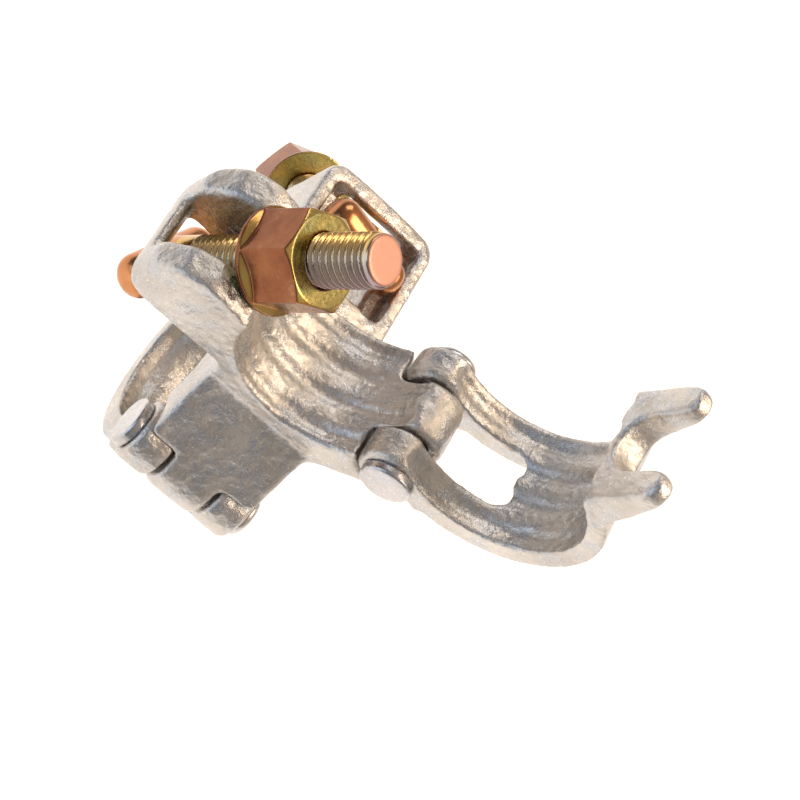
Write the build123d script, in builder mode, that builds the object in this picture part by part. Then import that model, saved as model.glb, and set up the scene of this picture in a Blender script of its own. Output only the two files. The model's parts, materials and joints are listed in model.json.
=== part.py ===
from build123d import *
import os
from collections import namedtuple
from math import cos, radians, sin, tan

# Right-angle scaffold coupler: one forged body with two tube saddles back to back, each with a
# hinged flap on a rivet and a swinging T-headed bolt with a flanged nut. Sizes are millimetres.
#
# Row frame: the lower tube's axis is X, the upper tube's axis is parallel to Y, +Z goes up through
# both, and the origin is the middle of the lower clamp on the lower tube's axis.
#
# Both clamps have the same saddle, hinge, flap and nut, and differ in their lug and in how their
# bolt stands, so each piece is drawn once in a clamp frame: its origin is the middle of the clamp
# on the tube's axis, x points to the hinge, y runs along the tube and z out of the saddle's mouth.

# ---- tubes and saddles -------------------------------------------------------------------------
tube_diameter = 48.3
saddle_clearance = 0.05
tube_spacing = 64.0  # between the two tube axes
clamp_width = 36.0  # along the tube
body_rim_wall = 3.4  # saddle wall beside the bolt
body_rim_height = -0.5  # rim from the tube's axis
rib_pitch = 9.3
groove_width = 5.0
groove_depth = 1.1
overlap = 2.0  # how far the body's blocks run into each other

# ---- hinge -------------------------------------------------------------------------------------
hinge_out = 30.4  # hinge axis from the tube's axis, sideways
hinge_drop = 8.6  # and below it
rivet_diameter = 10.0
rivet_head_diameter = 14.5
rivet_head_height = 3.0
rivet_head_chamfer = 0.6
rivet_peen_diameter = 13.6
rivet_peen_height = 2.6
rivet_peen_round = 2.2
knuckle_radius = 9.3
knuckle_width = 16.0
knuckle_bore_clearance = 0.08
knuckle_countersink = 1.4
knuckle_flank_angle = 28.0  # where the flat flank meets the knuckle's round
ear_radius = 9.2
ear_span = 37.0  # over both ears
ear_side_gap = 0.5
ear_swing_gap = 0.7
flank_corner_out = 6.0  # body's outer corner from the hinge axis, sideways
flank_corner_drop = 7.0  # and below it

# ---- flap --------------------------------------------------------------------------------------
flap_width = 37.0  # along the tube
flap_wall = 5.0
flap_hinge_wall = 2.6  # extra wall towards the hinge
flap_shoulder = 4.0  # flap's edge beyond the hinge axis, at the clamping gap
clamping_gap = 6.0  # fork's inner face above the tube's axis
fork_root_thickness = 10.0
fork_tip_thickness = 5.0
fork_root_round = 9.0
fork_neck = 5.0  # half the length over which the flap narrows to the fork
fork_reach = 46.4  # tips from the tube's axis
fork_width = 34.5
fork_tip_radius = 4.2
slot_width = 16.8
slot_bottom = 26.0  # slot's round end from the tube's axis
flap_window_end = 44.0  # degrees round the tube from the hinge side
flap_window_radius = 3.0
upper_flap_opening = 99.5  # degrees from closed
lower_flap_opening = 0.0

# ---- T-bolt and nut ----------------------------------------------------------------------------
bolt_diameter = 13.8  # over the M14 thread
bolt_length = 73.0  # T-bar axis to the end
bolt_end_chamfer = 1.6
t_bar_diameter = 11.8
t_bar_length = 30.0
t_bar_end_radius = 4.5
upper_swing_out = 38.4  # swing axis from the tube's axis, sideways
upper_swing_drop = 23.8  # and below it
upper_t_bar_below = 10.0  # T-bar from the swing axis, as the loose bolt slides under its lug
upper_bolt_lean = -20.0  # degrees outwards from square to the tube, so this one leans inwards
upper_bolt_tilt = 0.0  # degrees along the tube
upper_t_bar_skew = 28.0  # degrees about the bolt
upper_nut_seat = 37.2  # nut's lower face from the T-bar's axis
lower_swing_out = 42.4
lower_swing_drop = 32.9
lower_t_bar_below = 0.0
lower_bolt_lean = 33.5
lower_bolt_tilt = 6.5
lower_t_bar_skew = -10.0
lower_nut_seat = 58.5
nut_across_flats = 23.0
nut_hex_height = 14.2
nut_flange_diameter = 27.0
nut_flange_height = 2.6
nut_flange_edge = 1.2
nut_chamfer = 1.5
nut_face_margin = 0.4  # chamfer's circle inside the hexagon's flats
nut_corner_margin = 1.0  # turning outline beyond the hexagon's corners
nut_bore_clearance = 0.08

# ---- lug ---------------------------------------------------------------------------------------
lug_corner_radius = 6.0
lug_edge_radius = 2.0
lug_crest_round = 4.0
lug_crest_out = 38.0  # highest point of the side bars
lug_crest_height = 2.8
lug_shoulder_in = 6.0  # side bars' outer corner, back from the lug's reach
lug_shoulder_height = -1.0
lug_brow_drop = 10.0  # where the side bars meet the outer face
upper_lug_width = 36.0
upper_lug_reach = 51.8
upper_lug_underside = 23.9  # below the tube's axis
upper_bar_top = 17.0  # outer bar's top, below the tube's axis
upper_window_width = 16.8
upper_lean_out = 21.0  # degrees of bolt lean that the window clears
lower_lug_width = 40.0
lower_lug_reach = 60.0
lower_lug_underside = 32.5
lower_bar_top = 25.0
lower_window_width = 21.6
lower_lean_out = 35.5
lean_in = 21.0
shank_side_gap = 0.45
pocket_roof_gap = 2.0
pocket_length_gap = 0.5
pocket_out = 54.5
pocket_in = 28.0
flank_knee_out = 18.2  # body's flank behind the T-bar
flank_knee_drop = 25.5

# ---- worked out --------------------------------------------------------------------------------
saddle_radius = tube_diameter / 2 + saddle_clearance
rivet_radius = rivet_diameter / 2
groove_radius = (groove_width**2 / 4 + groove_depth**2) / (2 * groove_depth)
groove_places = [-1.5 * rib_pitch, -0.5 * rib_pitch, 0.5 * rib_pitch, 1.5 * rib_pitch]
ear_inside = knuckle_width / 2 + ear_side_gap
mid_plane = -tube_spacing / 2
shank_clear = bolt_diameter / 2 + shank_side_gap
cutter = 4 * tube_diameter

# A bolt's swing axis, where its T-bar lies below that, and how it leans; and the lug round it.
BoltPlace = namedtuple("BoltPlace", "out drop below lean tilt skew")
Lug = namedtuple("Lug", "width reach underside bar_top window lean_out")
upper_bolt = BoltPlace(
    upper_swing_out, upper_swing_drop, upper_t_bar_below, upper_bolt_lean, upper_bolt_tilt, upper_t_bar_skew
)
lower_bolt = BoltPlace(
    lower_swing_out, lower_swing_drop, lower_t_bar_below, lower_bolt_lean, lower_bolt_tilt, lower_t_bar_skew
)
upper_lug = Lug(
    upper_lug_width, upper_lug_reach, upper_lug_underside, upper_bar_top, upper_window_width, upper_lean_out
)
lower_lug = Lug(
    lower_lug_width, lower_lug_reach, lower_lug_underside, lower_bar_top, lower_window_width, lower_lean_out
)

upper_clamp = Plane(origin=(0, 0, tube_spacing), x_dir=(1, 0, 0), z_dir=(0, 0, 1))
lower_clamp = Plane(origin=(0, 0, 0), x_dir=(0, -1, 0), z_dir=(0, 0, -1))


def place(frame, x, y, z):
    """A clamp-frame point in the row frame."""
    return frame.from_local_coords(Vector(x, y, z))


def across(frame):
    """Side view of a clamp: x to the hinge, y out of the mouth, extruded along the tube."""
    return Plane(origin=frame.origin, x_dir=frame.x_dir, z_dir=-frame.y_dir)


def plan(frame, height=0.0):
    """View into a clamp's mouth: x to the hinge, y along the tube."""
    return Plane(origin=place(frame, 0, 0, height), x_dir=frame.x_dir, z_dir=frame.z_dir)


def turned(frame, x, z, angle):
    """The clamp frame turned by angle about the axis through (x, z), from its z towards its -x."""
    a = radians(angle)
    side = frame.x_dir * cos(a) + frame.z_dir * sin(a)
    out = frame.z_dir * cos(a) - frame.x_dir * sin(a)
    return Plane(origin=place(frame, x, 0, z) - side * x - out * z, x_dir=side, z_dir=out)


def beside_bolt(bolt, lean, along, offset):
    """Clamp-frame x, z of a point along a leaning bolt from its swing axis, offset outwards."""
    a = radians(lean)
    x = -bolt.out - along * sin(a) - offset * cos(a)
    z = -bolt.drop + along * cos(a) - offset * sin(a)
    return (x, z)


def groove_rings(frame):
    """The rings cut out of a saddle, which leave raised ribs between them."""
    with BuildPart() as rings:
        with BuildSketch(Plane(origin=frame.origin, x_dir=frame.y_dir, z_dir=-frame.x_dir)):
            for along in groove_places:
                with Locations((along, saddle_radius + groove_depth - groove_radius)):
                    Circle(groove_radius)
        revolve(axis=Axis(frame.origin, frame.y_dir))
    return rings.part


def tube_space(frame):
    """The space of the clamped tube."""
    with BuildPart() as space:
        with BuildSketch(across(frame)):
            Circle(saddle_radius)
        extrude(amount=cutter, both=True)
    return space.part


def saddle_block(frame):
    """One saddle before its bore, with the flat flank that runs down to its hinge."""
    rim = saddle_radius + body_rim_wall
    with BuildPart() as block:
        with BuildSketch(across(frame)):
            with BuildLine():
                Polyline(
                    (-saddle_radius + overlap, body_rim_height),
                    (-rim, body_rim_height),
                    (-rim, -saddle_radius / 2),
                    (-flank_knee_out, -flank_knee_drop),
                    (-clamp_width / 2, mid_plane - overlap),
                    (clamp_width / 2, mid_plane - overlap),
                    (hinge_out + flank_corner_out, -hinge_drop - flank_corner_drop),
                    (hinge_out, -hinge_drop),
                    (0, -hinge_drop),
                    close=True,
                )
            make_face()
        extrude(amount=clamp_width / 2, both=True)
    return block.part


def knuckle_tongue(frame):
    """The tongue that the rivet goes through."""
    slope = radians(knuckle_flank_angle)
    with BuildPart() as tongue:
        with BuildSketch(across(frame)):
            with Locations((hinge_out, -hinge_drop)):
                Circle(knuckle_radius)
            with BuildLine():
                Polyline(
                    (clamp_width / 2, mid_plane + overlap),
                    (hinge_out + knuckle_radius * cos(slope), -hinge_drop - knuckle_radius * sin(slope)),
                    (hinge_out, -hinge_drop + knuckle_radius),
                    (0, -hinge_drop),
                    close=True,
                )
            make_face()
        extrude(amount=knuckle_width / 2, both=True)
    return tongue.part


def ear_room(frame):
    """Room each side of the knuckle for the flap's ears to turn."""
    with BuildPart() as room:
        for side in (-1, 1):
            with BuildSketch(across(moved_along(frame, side * knuckle_width / 2))):
                with Locations((hinge_out, -hinge_drop)):
                    Circle(ear_radius + ear_swing_gap)
            extrude(amount=-side * clamp_width)
    return room.part


def moved_along(frame, along):
    """The clamp frame moved along the tube."""
    return Plane(origin=place(frame, 0, along, 0), x_dir=frame.x_dir, z_dir=frame.z_dir)


def lug_loop(frame, lug):
    """The solid that becomes the loop round the T-bolt: side bars, outer bar and inner wall."""
    with BuildPart() as loop:
        with BuildSketch(across(frame)):
            with BuildLine():
                Polyline(
                    (-saddle_radius + overlap / 2, body_rim_height),
                    (-lug_crest_out, lug_crest_height),
                    (-lug.reach + lug_shoulder_in, lug_shoulder_height),
                    (-lug.reach, -lug_brow_drop),
                    (-lug.reach, -lug.underside),
                    (-flank_knee_out + overlap, -lug.underside),
                    close=True,
                )
            make_face()
            fillet(vertices().sort_by(Axis.Y)[-1], lug_crest_round)
            fillet(vertices().sort_by(Axis.X)[:3], lug_edge_radius)
        extrude(amount=lug.width / 2, both=True)
        with BuildSketch(plan(frame, mid_plane)):
            RectangleRounded(2 * lug.reach, lug.width, lug_corner_radius)
        extrude(amount=tube_spacing, mode=Mode.INTERSECT)
    return loop.part


def bolt_window(frame, bolt, lug):
    """The window that the bolt's shank swings in, open above the outer bar."""
    reach = beside_bolt(bolt, lug.lean_out, 0, shank_clear)
    rise = -lug.bar_top - reach[1]
    with BuildPart() as window:
        with BuildSketch(across(frame)):
            with BuildLine():
                Polyline(
                    beside_bolt(bolt, -lean_in, -shank_clear, -shank_clear),
                    beside_bolt(bolt, -lean_in, cutter, -shank_clear),
                    (-cutter, cutter),
                    (-cutter, -lug.bar_top),
                    (reach[0] - rise * tan(radians(lug.lean_out)), -lug.bar_top),
                    reach,
                    (reach[0], reach[1] - shank_clear),
                    close=True,
                )
            make_face()
        extrude(amount=lug.window / 2, both=True)
    return window.part


def t_bar_pocket(frame, bolt):
    """The pocket in the lug's underside that the T-bar lies in."""
    roof = -bolt.drop + t_bar_diameter / 2 + pocket_roof_gap
    with BuildPart() as pocket:
        with BuildSketch(across(frame)):
            with Locations((-(pocket_out + pocket_in) / 2, roof - t_bar_diameter)):
                Rectangle(pocket_out - pocket_in, 2 * t_bar_diameter)
            fillet(vertices(), lug_edge_radius)
        extrude(amount=t_bar_length / 2 + pocket_length_gap, both=True)
    return pocket.part


def knuckle_bore(frame):
    """The hinge bore, running on the rivet, countersunk each side."""
    half = knuckle_width / 2
    bore = rivet_radius + knuckle_bore_clearance
    flare = bore + knuckle_countersink
    with BuildPart() as hole:
        with BuildSketch(plan(frame, -hinge_drop)):
            with BuildLine():
                Polyline(
                    (hinge_out, -half),
                    (hinge_out + flare, -half),
                    (hinge_out + bore, -half + knuckle_countersink),
                    (hinge_out + bore, half - knuckle_countersink),
                    (hinge_out + flare, half),
                    (hinge_out, half),
                    close=True,
                )
            make_face()
        revolve(axis=Axis(place(frame, hinge_out, 0, -hinge_drop), frame.y_dir))
    return hole.part


# ---- coupler body ------------------------------------------------------------------------------
clamps = (upper_clamp, lower_clamp)
blocks = [saddle_block(clamp) for clamp in clamps]
blocks += [lug_loop(upper_clamp, upper_lug), lug_loop(lower_clamp, lower_lug)]
ear_rooms = [ear_room(clamp) for clamp in clamps]
tongues = [knuckle_tongue(clamp) for clamp in clamps]
hollows = [bolt_window(upper_clamp, upper_bolt, upper_lug), bolt_window(lower_clamp, lower_bolt, lower_lug)]
hollows += [t_bar_pocket(lower_clamp, lower_bolt)]
for clamp in clamps:
    hollows += [tube_space(clamp), groove_rings(clamp), knuckle_bore(clamp)]
with BuildPart() as coupler_body:
    add(blocks)
    add(ear_rooms, mode=Mode.SUBTRACT)
    add(tongues)
    add(hollows, mode=Mode.SUBTRACT)


def make_flap(clamp, opening):
    """A flap, drawn closed on the tube and turned open about its hinge."""
    frame = turned(clamp, hinge_out, -hinge_drop, -opening)
    outer = saddle_radius + flap_wall + flap_hinge_wall / 2
    below = -2 * knuckle_radius
    rings = groove_rings(frame)
    with BuildPart() as flap:
        with BuildSketch(across(frame)):
            with Locations((flap_hinge_wall / 2, 0)):
                Circle(outer)
            with BuildLine():
                Polyline(
                    (0, clamping_gap),
                    (-fork_reach, clamping_gap),
                    (-fork_reach, clamping_gap + fork_tip_thickness),
                    (-saddle_radius, clamping_gap + fork_root_thickness),
                    (0, clamping_gap + fork_root_thickness),
                    close=True,
                )
            make_face()
            root = vertices().filter_by_position(Axis.X, -outer, -saddle_radius)
            fillet(root.sort_by(Axis.Y)[-1], fork_root_round)
            with Locations((0, clamping_gap - cutter / 2)):
                Rectangle(cutter, cutter, mode=Mode.SUBTRACT)
            with BuildLine():
                Polyline(
                    (0, clamping_gap),
                    (0, -hinge_drop),
                    (hinge_out, -hinge_drop),
                    (hinge_out + flap_shoulder, clamping_gap),
                    close=True,
                )
            make_face()
            with Locations((hinge_out, -hinge_drop)):
                Circle(ear_radius)
            Circle(saddle_radius, mode=Mode.SUBTRACT)
        extrude(amount=flap_width / 2, both=True)
        # outline of the fork, seen from above
        with BuildSketch(plan(frame, below)):
            with BuildLine():
                Polyline(
                    (cutter, flap_width / 2),
                    (-saddle_radius + fork_neck, flap_width / 2),
                    (-saddle_radius - fork_neck, fork_width / 2),
                    (-fork_reach, fork_width / 2),
                    (-fork_reach, -fork_width / 2),
                    (-saddle_radius - fork_neck, -fork_width / 2),
                    (-saddle_radius + fork_neck, -flap_width / 2),
                    (cutter, -flap_width / 2),
                    close=True,
                )
            make_face()
            with Locations((-fork_reach, 0)):
                SlotCenterToCenter(2 * (fork_reach - slot_bottom - slot_width / 2), slot_width, mode=Mode.SUBTRACT)
            tips = vertices().filter_by_position(Axis.X, -fork_reach - 0.1, -fork_reach + 0.1)
            fillet(tips, fork_tip_radius)
        extrude(amount=cutter / 2, mode=Mode.INTERSECT)
        # window between the two arms
        with BuildSketch(plan(frame, below)):
            reach = saddle_radius * cos(radians(flap_window_end))
            with Locations((reach + cutter / 2, 0)):
                RectangleRounded(cutter, 2 * ear_inside, flap_window_radius)
        extrude(amount=cutter / 2, mode=Mode.SUBTRACT)
        with BuildSketch(across(frame)):
            with Locations((hinge_out, -hinge_drop)):
                Circle(rivet_radius)
        extrude(amount=clamp_width, both=True, mode=Mode.SUBTRACT)
        add(rings, mode=Mode.SUBTRACT)
    return flap


def make_rivet(clamp, side):
    """A hinge rivet: flat head on the side given along the tube, peened dome on the other."""
    axis = Axis(place(clamp, hinge_out, 0, -hinge_drop), clamp.y_dir * -side)
    with BuildPart() as rivet:
        for radius, start, length in (
            (rivet_radius, -ear_span / 2, ear_span),
            (rivet_head_diameter / 2, -ear_span / 2 - rivet_head_height, rivet_head_height),
            (rivet_peen_diameter / 2, ear_span / 2, rivet_peen_height),
        ):
            with BuildSketch(across(moved_along(clamp, -side * start))):
                with Locations((hinge_out, -hinge_drop)):
                    Circle(radius)
            extrude(amount=side * length)
        rims = edges().filter_by(GeomType.CIRCLE).sort_by(axis)
        chamfer(rims[0], rivet_head_chamfer)
        fillet(edges().filter_by(GeomType.CIRCLE).sort_by(axis)[-1], rivet_peen_round)
    return rivet


def bolt_frame(clamp, bolt):
    """Frame at the T-bar's middle: z along the bolt, y along the T-bar."""
    leant = turned(clamp, -bolt.out, -bolt.drop, bolt.lean)
    tilt = radians(bolt.tilt)
    skew = radians(bolt.skew)
    along = leant.z_dir * cos(tilt) + clamp.y_dir * sin(tilt)
    bar = clamp.y_dir * cos(tilt) - leant.z_dir * sin(tilt)
    side = leant.x_dir * cos(skew) - bar * sin(skew)
    return Plane(origin=place(clamp, -bolt.out, 0, -bolt.drop) - along * bolt.below, x_dir=side, z_dir=along)


def make_bolt(clamp, bolt):
    """A T-headed bolt, with its thread as a plain cylinder over the crests."""
    frame = bolt_frame(clamp, bolt)
    with BuildPart() as t_bolt:
        with BuildSketch(across(frame)):
            Circle(t_bar_diameter / 2)
        extrude(amount=t_bar_length / 2, both=True)
        fillet(edges().filter_by(GeomType.CIRCLE), t_bar_end_radius)
        with BuildSketch(frame):
            Circle(bolt_diameter / 2)
        extrude(amount=bolt_length)
        end = edges().filter_by(GeomType.CIRCLE).sort_by(Axis(frame.origin, frame.z_dir))[-1]
        chamfer(end, bolt_end_chamfer)
    return t_bolt


def make_nut(clamp, bolt, seat):
    """A hexagon nut with a washer flange, its flange towards the T-bar."""
    axis = bolt_frame(clamp, bolt)
    frame = Plane(origin=place(axis, 0, 0, seat), x_dir=axis.x_dir, z_dir=axis.z_dir)
    height = nut_flange_height + nut_hex_height
    corner = nut_across_flats / 3**0.5
    with BuildPart() as nut:
        with BuildSketch(frame):
            RegularPolygon(nut_across_flats / 2, 6, major_radius=False)
        extrude(amount=height)
        with BuildSketch(across(frame)):
            with BuildLine():
                Polyline(
                    (0, 0),
                    (corner + nut_corner_margin, 0),
                    (corner + nut_corner_margin, height - nut_chamfer),
                    (corner - nut_chamfer - nut_face_margin, height),
                    (0, height),
                    close=True,
                )
            make_face()
        revolve(axis=Axis(frame.origin, frame.z_dir), mode=Mode.INTERSECT)
        with BuildSketch(across(frame)):
            with BuildLine():
                Polyline(
                    (0, 0),
                    (nut_flange_diameter / 2, 0),
                    (nut_flange_diameter / 2, nut_flange_edge),
                    (nut_across_flats / 2, nut_flange_height),
                    (0, nut_flange_height),
                    close=True,
                )
            make_face()
        revolve(axis=Axis(frame.origin, frame.z_dir))
        with BuildSketch(frame):
            Circle(bolt_diameter / 2 + nut_bore_clearance)
        extrude(amount=height, mode=Mode.SUBTRACT)
    return nut


# ---- flaps, rivets, bolts and nuts -------------------------------------------------------------
upper_flap = make_flap(upper_clamp, upper_flap_opening)
lower_flap = make_flap(lower_clamp, lower_flap_opening)
upper_hinge_rivet = make_rivet(upper_clamp, -1)
lower_hinge_rivet = make_rivet(lower_clamp, 1)
upper_t_bolt = make_bolt(upper_clamp, upper_bolt)
lower_t_bolt = make_bolt(lower_clamp, lower_bolt)
upper_flange_nut = make_nut(upper_clamp, upper_bolt, upper_nut_seat)
lower_flange_nut = make_nut(lower_clamp, lower_bolt, lower_nut_seat)

# ---- write the pieces --------------------------------------------------------------------------
os.makedirs("parts", exist_ok=True)
pieces = {
    "coupler_body": coupler_body,
    "upper_flap": upper_flap,
    "lower_flap": lower_flap,
    "upper_hinge_rivet": upper_hinge_rivet,
    "lower_hinge_rivet": lower_hinge_rivet,
    "upper_t_bolt": upper_t_bolt,
    "lower_t_bolt": lower_t_bolt,
    "upper_flange_nut": upper_flange_nut,
    "lower_flange_nut": lower_flange_nut,
}
for label, piece in pieces.items():
    piece.part.label = label
    export_step(piece.part, f"parts/{label}.step")
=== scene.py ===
import json
from math import cos, pi, radians, sin

import bmesh
import bpy
from mathutils import Matrix, Vector


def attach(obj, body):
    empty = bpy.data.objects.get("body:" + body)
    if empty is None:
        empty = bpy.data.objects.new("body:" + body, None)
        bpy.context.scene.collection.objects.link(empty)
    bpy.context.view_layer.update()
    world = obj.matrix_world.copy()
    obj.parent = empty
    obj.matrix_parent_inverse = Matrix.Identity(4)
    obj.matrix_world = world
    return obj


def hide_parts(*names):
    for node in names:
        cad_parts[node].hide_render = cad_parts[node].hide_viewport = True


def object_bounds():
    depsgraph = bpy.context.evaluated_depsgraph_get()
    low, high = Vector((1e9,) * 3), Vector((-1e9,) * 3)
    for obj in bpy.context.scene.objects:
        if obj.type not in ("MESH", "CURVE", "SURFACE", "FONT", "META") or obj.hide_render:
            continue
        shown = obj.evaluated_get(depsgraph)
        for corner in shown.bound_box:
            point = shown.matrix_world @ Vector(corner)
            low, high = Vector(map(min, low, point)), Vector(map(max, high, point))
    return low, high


# A right-angle scaffold coupler. The forged body, flaps and rivets are rounded, zinc-coated copies
# of their plain solids, the T-bolts get real M14 threads, and bolts and nuts are yellow chromate
# over zinc. Sizes are in metres.

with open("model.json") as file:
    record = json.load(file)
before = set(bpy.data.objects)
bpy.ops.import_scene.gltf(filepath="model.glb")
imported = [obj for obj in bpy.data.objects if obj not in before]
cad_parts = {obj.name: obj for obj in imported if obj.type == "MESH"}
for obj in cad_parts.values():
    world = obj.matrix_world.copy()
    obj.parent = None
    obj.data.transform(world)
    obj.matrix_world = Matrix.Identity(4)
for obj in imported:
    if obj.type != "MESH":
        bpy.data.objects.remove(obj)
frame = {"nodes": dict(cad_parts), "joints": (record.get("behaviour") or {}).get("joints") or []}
cad_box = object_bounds()
joints = {joint["name"]: joint for joint in frame["joints"]}
MM = 0.001


# ---- shader sums -------------------------------------------------------------------------------
class Sock:
    """A shader value that adds a Math node when it is used in a sum."""

    def __init__(self, shop, out):
        self.shop = shop
        self.out = out

    def sum(self, kind, a, b):
        step = self.shop.node("ShaderNodeMath", {"operation": kind}, {0: a, 1: b})
        return Sock(self.shop, step.outputs[0])

    def __add__(self, other):
        return self.sum("ADD", self, other)

    __radd__ = __add__

    def __mul__(self, other):
        return self.sum("MULTIPLY", self, other)

    __rmul__ = __mul__

    def __sub__(self, other):
        return self.sum("SUBTRACT", self, other)

    def __rsub__(self, other):
        return self.sum("SUBTRACT", other, self)

    def above(self, level):
        return self.sum("GREATER_THAN", self, level)


class Shop:
    """Adds nodes to one node tree."""

    def __init__(self, tree):
        self.tree = tree

    def node(self, kind, settings=None, values=None):
        node = self.tree.nodes.new(kind)
        for name, value in (settings or {}).items():
            if name == "stops":
                ramp = node.color_ramp
                while len(ramp.elements) < len(value):
                    ramp.elements.new(0.5)
                for element, (where, colour) in zip(ramp.elements, value):
                    element.position = where
                    element.color = (*colour, 1.0)
            else:
                setattr(node, name, value)
        for name, value in (values or {}).items():
            self.put(node.inputs[name], value)
        return node

    def put(self, socket, value):
        if isinstance(value, Sock):
            value = value.out
        if isinstance(value, bpy.types.NodeSocket):
            self.tree.links.new(value, socket)
        else:
            socket.default_value = value

    def ramp(self, value, stops):
        return self.node("ShaderNodeValToRGB", {"stops": stops}, {"Fac": value}).outputs["Color"]

    def part_of(self, value, low, high, to_low=0.0, to_high=1.0):
        sockets = {0: value, 1: low, 2: high, 3: to_low, 4: to_high}
        return Sock(self, self.node("ShaderNodeMapRange", {"clamp": True}, sockets).outputs[0])

    def along(self, direction, source):
        values = {0: source, 1: tuple(direction)}
        node = self.node("ShaderNodeVectorMath", {"operation": "DOT_PRODUCT"}, values)
        return Sock(self, node.outputs["Value"])


class Finish(Shop):
    """A material under construction."""

    def __init__(self, name):
        self.material = bpy.data.materials.new(name)
        self.material.use_nodes = True
        super().__init__(self.material.node_tree)
        self.shader = self.tree.nodes["Principled BSDF"]
        coordinates = self.node("ShaderNodeTexCoord")
        self.place = coordinates.outputs["Object"]
        self.facing = coordinates.outputs["Normal"]

    def noise(self, scale, detail, rough):
        values = {"Vector": self.place, "Scale": scale, "Detail": detail, "Roughness": rough}
        return Sock(self, self.node("ShaderNodeTexNoise", None, values).outputs["Fac"])

    def cells(self, scale):
        values = {"Vector": self.place, "Scale": scale}
        return Sock(self, self.node("ShaderNodeTexVoronoi", {"feature": "F1"}, values).outputs["Distance"])

    def blend(self, share, a, b):
        settings = {"data_type": "RGBA", "blend_type": "MIX"}
        return self.node("ShaderNodeMix", settings, {0: share, 6: a, 7: b}).outputs[2]

    def bump(self, height, depth, strength):
        values = {"Height": height, "Distance": depth, "Strength": strength}
        self.set("Normal", self.node("ShaderNodeBump", None, values).outputs["Normal"])

    def set(self, name, value):
        self.put(self.shader.inputs[name], value)


# ---- finishes ----------------------------------------------------------------------------------
RUBBED_ZINC = (0.95, 0.92, 0.87, 1.0)
BARE_ZINC_UNDER_NUT_FILM = (0.56, 0.4, 0.28, 1.0)
SAWN_END = (0.62, 0.33, 0.25, 1.0)
# Chromate thread colours; the gold end shows as painted light on thread faces turned toward a fixed lit
# direction, the lilac end behind.
THREAD_FILM_AND_PAINTED_LIGHT = [
    (0.12, (0.4, 0.25, 0.3)),
    (0.34, (0.42, 0.34, 0.33)),
    (0.52, (0.62, 0.52, 0.4)),
    (0.68, (0.7, 0.46, 0.17)),
    (0.86, (0.5, 0.26, 0.09)),
]
BAR_FILM = [(0.3, (0.42, 0.15, 0.06)), (0.6, (0.66, 0.3, 0.13))]
NUT_FILM = [
    (0.1, (0.3, 0.12, 0.1)),
    (0.24, (0.2, 0.07, 0.035)),
    (0.36, (0.33, 0.13, 0.055)),
    (0.48, (0.5, 0.27, 0.09)),
    (0.6, (0.56, 0.4, 0.13)),
    (0.72, (0.34, 0.33, 0.14)),
    (0.86, (0.6, 0.5, 0.26)),
]
# Fixed lit direction: thread faces turned toward it are painted gold, a painted highlight.
PAINTED_LIGHT_SIDE = Vector((-0.62, 0.76, 0.2))


def galvanised(name, tint, grain_depth, smoothness):
    """Hot-dip zinc over a forged skin: cloudy, with fine grain and bright rubbed spots."""
    zinc = Finish(name)
    clouds = zinc.noise(55.0, 4.0, 0.6)
    patches = zinc.noise(160.0, 3.0, 0.55)
    grain = zinc.noise(1100.0, 4.0, 0.7)
    hammered = zinc.part_of(zinc.cells(330.0), 0.0, 0.6)
    dark = tuple(0.78 * channel for channel in tint)
    bright = tuple(min(1.0, 1.2 * channel) for channel in tint)
    cool = (tint[2] * 0.98, tint[2] * 1.02, tint[2] * 1.09, 1.0)
    warm = zinc.ramp(clouds, [(0.3, dark), (0.5, tint), (0.72, bright)])
    streaked = zinc.blend(zinc.part_of(patches, 0.46, 0.62, 0.0, 0.6), warm, cool)
    zinc.set("Base Color", zinc.blend(zinc.part_of(grain, 0.56, 0.72, 0.0, 0.6), streaked, RUBBED_ZINC))
    zinc.set("Metallic", 0.94)
    zinc.set("Roughness", zinc.part_of(patches * 0.5 + grain * 0.5, 0.36, 0.64, 0.44, 0.24) * smoothness)
    zinc.bump(clouds * 0.4 + patches * 0.3 + grain * 0.16 + hammered * 0.14, grain_depth, 0.9)
    return zinc.material


def chromate(name, film):
    """Yellow chromate over zinc. film gives colour and roughness from the skin and its noises."""
    skin = Finish(name)
    clouds = skin.noise(140.0, 3.0, 0.55)
    fine = skin.noise(900.0, 3.0, 0.6)
    swirl = skin.noise(45.0, 2.0, 0.5)
    colour, rough = film(skin, clouds, fine, swirl)
    skin.set("Base Color", colour)
    skin.set("Metallic", 1.0)
    skin.set("Roughness", rough)
    skin.bump(fine * 0.3 + clouds * 0.7, 0.00025, 0.35)
    return skin.material


def bolt_chromate(name, along, seat):
    """Copper T-bar, thread painted gold as painted light on the side facing a fixed lit direction and
    lilac behind, dull sawn end.
    """

    def film(skin, clouds, fine, swirl):
        lit = (PAINTED_LIGHT_SIDE - along * PAINTED_LIGHT_SIDE.dot(along)).normalized()
        height = skin.along(along, skin.place) - seat.dot(along)
        end = height.above(BOLT_LENGTH - SAWN_DEPTH)
        # Painted light: hue rises on thread faces turned toward the fixed lit direction, gold there and
        # lilac behind, on top of the chromate's cloudy tones.
        thread_hue_with_painted_light = skin.along(lit, skin.facing) * 0.32 + clouds * 0.2 + swirl * 0.2 + 0.3
        bar = skin.ramp(clouds * 0.6 + swirl * 0.4, BAR_FILM)
        colour = skin.blend(height.above(T_BAR + NECK_SHOWN), bar, skin.ramp(thread_hue_with_painted_light, THREAD_FILM_AND_PAINTED_LIGHT))
        rough = skin.part_of(fine, 0.3, 0.7, 0.16, 0.3) + end * 0.25
        return skin.blend(end, colour, SAWN_END), rough

    return chromate(name, film)


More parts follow.
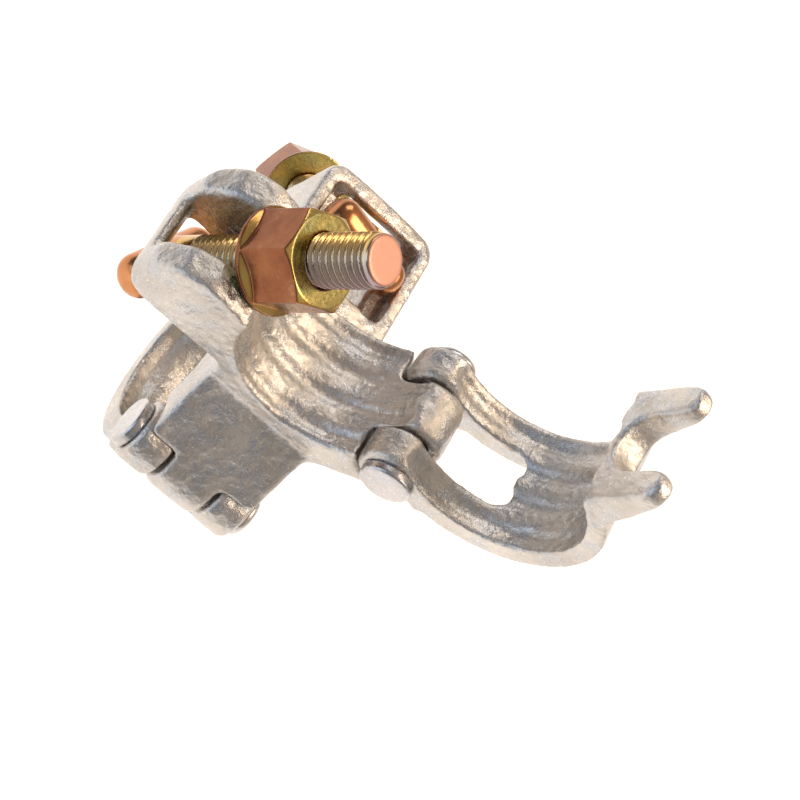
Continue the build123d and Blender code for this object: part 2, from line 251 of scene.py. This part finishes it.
def nut_chromate(name, along):
    """Copper-brown flats, olive and gold where the nut faces along its bolt."""

    def film(skin, clouds, fine, swirl):
        endwise = skin.along(along, skin.facing)
        hue = endwise * endwise * 0.4 + clouds * 0.26 + swirl * 0.3 - 0.02
        bared = skin.part_of(fine * 0.5 + clouds * 0.5, 0.56, 0.7, 0.0, 0.22)
        colour = skin.blend(bared, skin.ramp(hue, NUT_FILM), BARE_ZINC_UNDER_NUT_FILM)
        return colour, skin.part_of(fine, 0.3, 0.7, 0.16, 0.3)

    return chromate(name, film)


# ---- making pieces -----------------------------------------------------------------------------
def only(piece=None):
    """Leaves one object selected and active, or none selected."""
    for other in bpy.context.selected_objects:
        other.select_set(False)
    if piece:
        piece.select_set(True)
        bpy.context.view_layer.objects.active = piece


def apply(piece, kind, **settings):
    """Adds a modifier and applies it."""
    modifier = piece.modifiers.new(kind.title(), kind)
    for name, value in settings.items():
        setattr(modifier, name, value)
    only(piece)
    bpy.ops.object.modifier_apply(modifier=modifier.name)


def new_piece(name, mesh):
    piece = bpy.data.objects.new(name, mesh)
    bpy.context.scene.collection.objects.link(piece)
    return piece


def copy_of(node, name):
    """A merged copy of a plain solid."""
    piece = new_piece(name, frame["nodes"][node].data.copy())
    only(piece)
    bpy.ops.object.mode_set(mode="EDIT")
    bpy.ops.mesh.select_all(action="SELECT")
    bpy.ops.mesh.remove_doubles(threshold=0.02 * MM)
    bpy.ops.object.mode_set(mode="OBJECT")
    return piece


def soften(piece, voxel, passes):
    """Rounds every edge the way forging and plating do."""
    apply(piece, "REMESH", mode="VOXEL", voxel_size=voxel, use_smooth_shade=True)
    apply(piece, "SMOOTH", factor=0.5, iterations=passes)
    only(piece)
    bpy.ops.object.shade_smooth()


def blunt(piece, sharpness, rounds):
    """Rounds off the points and thin corners that a forging doesn't fill."""
    for _ in range(rounds):
        shell = bmesh.new()
        shell.from_mesh(piece.data)
        sharp = set()
        for point in shell.verts:
            around = [edge.other_vert(point) for edge in point.link_edges]
            mean = sum((other.co for other in around), Vector()) / max(1, len(around))
            if (point.co - mean).dot(point.normal) > sharpness:
                sharp.add(point.index)
                sharp.update(other.index for other in around)
        shell.free()
        corners = piece.vertex_groups.new(name="corners")
        corners.add(list(sharp), 1.0, "REPLACE")
        apply(piece, "SMOOTH", factor=0.5, iterations=12, vertex_group="corners")
        piece.vertex_groups.clear()


def dimple(piece, name, size, depth):
    """Shallow unevenness of a hammered skin."""
    waves = bpy.data.textures.new(name, "CLOUDS")
    waves.noise_scale = size
    waves.noise_depth = 3
    apply(piece, "DISPLACE", texture=waves, strength=depth, mid_level=0.5, texture_coords="LOCAL")


def finish_piece(piece, material, node, body):
    piece.data.materials.clear()
    piece.data.materials.append(material)
    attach(piece, body)
    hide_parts(node)


# ---- forgings and rivets -----------------------------------------------------------------------
BODY_VOXEL = 0.58 * MM
BODY_PASSES = 18
FLAP_VOXEL = 0.5 * MM
FLAP_PASSES = 26
CORNER_SHARPNESS = 0.04 * MM
CORNER_ROUNDS = 6

zinc = galvanised("galvanised_zinc", (0.64, 0.595, 0.545), 1.6 * MM, 0.86)
rivet_zinc = galvanised("plated_rivet", (0.6, 0.57, 0.56), 0.5 * MM, 0.8)


def forged(node, name, body, voxel, passes):
    """A forging made from its plain solid: rounded, blunted and lightly hammered."""
    piece = copy_of(node, name)
    soften(piece, voxel, passes)
    blunt(piece, CORNER_SHARPNESS, CORNER_ROUNDS)
    dimple(piece, name + "_skin", 6.0 * MM, 0.35 * MM)
    dimple(piece, name + "_grain", 1.6 * MM, 0.12 * MM)
    finish_piece(piece, zinc, node, body)


forged("coupler_body", "forged_body", "body", BODY_VOXEL, BODY_PASSES)
forged("upper_flap", "forged_upper_flap", "upper_flap", FLAP_VOXEL, FLAP_PASSES)
forged("lower_flap", "forged_lower_flap", "lower_flap", FLAP_VOXEL, FLAP_PASSES)

for level in ("upper", "lower"):
    rivet = copy_of(f"{level}_hinge_rivet", f"{level}_plated_rivet")
    soften(rivet, 0.4 * MM, 3)
    dimple(rivet, f"{level}_rivet_skin", 4.0 * MM, 0.15 * MM)
    finish_piece(rivet, rivet_zinc, f"{level}_hinge_rivet", f"{level}_flap")

# ---- T-bolts and nuts --------------------------------------------------------------------------
SHANK = 6.9 * MM
THREAD_ROOT = 5.75 * MM
PITCH = 2.0 * MM
THREAD_START = 13.0 * MM
THREAD_RUNOUT = 1.0 * MM
THREAD_PROFILE = (
    (THREAD_ROOT, 0.0),
    (THREAD_ROOT, 0.14),
    (SHANK, 0.46),
    (SHANK, 0.6),
    (THREAD_ROOT, 0.95),
    (THREAD_ROOT, 1.0),
)
THREAD_STEPS = 56
BOLT_LENGTH = 73.0 * MM
T_BAR = 5.9 * MM
T_BAR_LENGTH = 30.0 * MM
T_BAR_ROUND = 4.3 * MM
UPPER_T_BAR_BELOW = 10.0 * MM
NECK_SLACK = 0.1 * MM
NECK_OVERLAP = 0.5 * MM
NECK_SHOWN = 2.0 * MM
CORE_OVERLAP = 0.05 * MM
CORE_BACK = 0.32 * MM
TIP_BACK = 0.5 * MM
TIP_LENGTH = 2.4 * MM
TIP_BEVEL = 0.9 * MM
SAWN_DEPTH = 0.35 * MM
BOLT_VOXEL = 0.3 * MM
NUT_VOXEL = 0.26 * MM
SHARP_EDGE = radians(50)


def add_cylinder(radius, low_end, high_end, along_y=False):
    """A cylinder with a finely divided round between two heights, standing or lying."""
    only()
    bpy.ops.mesh.primitive_cylinder_add(
        vertices=64,
        radius=radius,
        depth=high_end - low_end,
        location=(0, 0, (low_end + high_end) / 2),
        rotation=(pi / 2, 0, 0) if along_y else (0, 0, 0),
    )
    piece = bpy.context.active_object
    bpy.ops.object.transform_apply(location=True, rotation=True, scale=True)
    return piece


def thread(start, end):
    """A closed helical thread from start to end along Z."""
    mesh = bpy.data.meshes.new("thread_profile")
    points = [(radius, 0, start + share * PITCH) for radius, share in THREAD_PROFILE]
    mesh.from_pydata(points, [(i, i + 1) for i in range(len(points) - 1)], [])
    piece = new_piece("thread_profile", mesh)
    apply(
        piece,
        "SCREW",
        axis="Z",
        screw_offset=PITCH,
        angle=2 * pi,
        steps=THREAD_STEPS,
        render_steps=THREAD_STEPS,
        iterations=round((end - start) / PITCH) - 1,
        use_merge_vertices=True,
        merge_threshold=0.01 * MM,
    )
    bpy.ops.object.mode_set(mode="EDIT")
    bpy.ops.mesh.select_all(action="SELECT")
    bpy.ops.mesh.remove_doubles(threshold=0.01 * MM)
    bpy.ops.mesh.select_all(action="DESELECT")
    bpy.ops.mesh.select_non_manifold()
    bpy.ops.mesh.fill_holes(sides=0)
    bpy.ops.mesh.select_all(action="SELECT")
    bpy.ops.mesh.quads_convert_to_tris()
    bpy.ops.mesh.normals_make_consistent(inside=False)
    bpy.ops.object.mode_set(mode="OBJECT")
    return piece


def t_bolt(name):
    """A T-headed bolt standing on its T-bar's middle: bar along Y, thread up Z."""
    bar = add_cylinder(T_BAR, -T_BAR_LENGTH / 2, T_BAR_LENGTH / 2, along_y=True)
    apply(bar, "BEVEL", width=T_BAR_ROUND, segments=7, limit_method="ANGLE", angle_limit=SHARP_EDGE)
    neck = add_cylinder(SHANK - NECK_SLACK, 0, THREAD_START + NECK_OVERLAP)
    core = add_cylinder(THREAD_ROOT + CORE_OVERLAP, THREAD_START, BOLT_LENGTH - CORE_BACK)
    tip = add_cylinder(SHANK - TIP_BACK, BOLT_LENGTH - TIP_LENGTH, BOLT_LENGTH)
    apply(tip, "BEVEL", width=TIP_BEVEL, segments=3, limit_method="ANGLE", angle_limit=SHARP_EDGE)
    helix = thread(THREAD_START - THREAD_RUNOUT, BOLT_LENGTH - THREAD_RUNOUT)
    only(bar)
    for piece in (helix, neck, core, tip):
        piece.select_set(True)
    bpy.ops.object.join()
    bar.name = name
    soften(bar, BOLT_VOXEL, 2)
    return bar


def stand(piece, origin, along, across_bar, skew):
    """Turns a bolt from standing at the origin to its place, its T-bar turned by skew."""
    side = across_bar.cross(along).normalized()
    bar = along.cross(side)
    turned_side = side * cos(skew) - bar * sin(skew)
    turned_bar = along.cross(turned_side)
    grid = Matrix((turned_side, turned_bar, along)).transposed().to_4x4()
    piece.data.transform(Matrix.Translation(origin) @ grid)
    piece.data.update()


upper_along = Vector(joints["upper_nut_run"]["axis"]).normalized()
lower_along = -Vector(joints["lower_nut_run"]["axis"]).normalized()
upper_seat = Vector(joints["upper_bolt_swing"]["pos_m"]) - upper_along * UPPER_T_BAR_BELOW
lower_seat = Vector(joints["lower_bolt_swing"]["pos_m"])
for level, seat, along, across_bar, skew in (
    ("upper", upper_seat, upper_along, Vector((0, 1, 0)), radians(28)),
    ("lower", lower_seat, lower_along, Vector((-1, 0, 0)), radians(-10)),
):
    bolt = t_bolt(f"{level}_threaded_t_bolt")
    stand(bolt, seat, along, across_bar, skew)
    bolt_skin = bolt_chromate(f"{level}_bolt_chromate", along, seat)
    finish_piece(bolt, bolt_skin, f"{level}_t_bolt", f"{level}_bolt")
    nut = copy_of(f"{level}_flange_nut", f"{level}_plated_nut")
    soften(nut, NUT_VOXEL, 4)
    nut_skin = nut_chromate(f"{level}_nut_chromate", along)
    finish_piece(nut, nut_skin, f"{level}_flange_nut", f"{level}_nut")

# ---- stage, lights, camera ---------------------------------------------------------------------
FLOOR_DROP = 0.16
low, high = (Vector(corner) for corner in cad_box)
middle = (low + high) / 2

only()
bpy.ops.mesh.primitive_plane_add(size=6.0, location=(middle.x, middle.y, low.z - FLOOR_DROP))
floor = bpy.context.active_object
floor.name = "pale_floor"
paint = Finish("pale_floor_paint")
paint.set("Base Color", (0.93, 0.93, 0.93, 1.0))
paint.set("Roughness", 0.9)
paint.set("Emission Color", (1.0, 1.0, 1.0, 1.0))
paint.set("Emission Strength", 0.55)
floor.data.materials.append(paint.material)


def soft_light(name, spot, size, power, colour):
    """A large panel aimed at the coupler."""
    panel = bpy.data.lights.new(name, "AREA")
    panel.shape = "RECTANGLE"
    panel.size = size[0]
    panel.size_y = size[1]
    panel.energy = power
    panel.color = colour
    lamp = new_piece(name, panel)
    lamp.location = middle + Vector(spot)
    lamp.rotation_euler = (-Vector(spot)).to_track_quat("-Z", "Y").to_euler()


soft_light("warm_panel", (0.55, 0.15, 0.75), (0.7, 0.5), 6.4, (1.0, 0.81, 0.62))
soft_light("white_panel", (-0.35, 0.75, 0.6), (0.6, 0.4), 2.2, (1.0, 0.94, 0.88))
soft_light("cool_panel", (-0.75, -0.45, 0.25), (0.6, 0.6), 1.5, (0.72, 0.84, 1.0))

world = bpy.data.worlds.new("pale_room")
world.use_nodes = True
room = Shop(world.node_tree)
directions = room.node("ShaderNodeTexCoord").outputs["Generated"]
warmth = room.along(Vector((0.75, 0.35, 0.55)).normalized(), directions)
walls = room.ramp(room.part_of(warmth, -1.0, 1.0), [(0.3, (0.22, 0.27, 0.36)), (0.9, (1.0, 0.84, 0.68))])
background = world.node_tree.nodes["Background"]
room.put(background.inputs["Color"], walls)
room.put(background.inputs["Strength"], 0.52)
bpy.context.scene.world = world
bpy.context.scene.view_settings.view_transform = "Standard"

right = Vector((0.7006, 0.4408, 0.5611))
down = Vector((0.625, -0.7582, -0.1854))
ahead = Vector((0.3442, 0.4808, -0.8061))
lens = bpy.data.cameras.new("studio_camera")
lens.lens = 86.56
lens.sensor_width = 36.0
lens.clip_start = 0.01
camera = new_piece("studio_camera", lens)
turn = Matrix((right, -down, -ahead)).transposed().to_4x4()
camera.matrix_world = Matrix.Translation(Vector((-0.147, -0.2363, 0.4528))) @ turn
bpy.context.scene.camera = camera
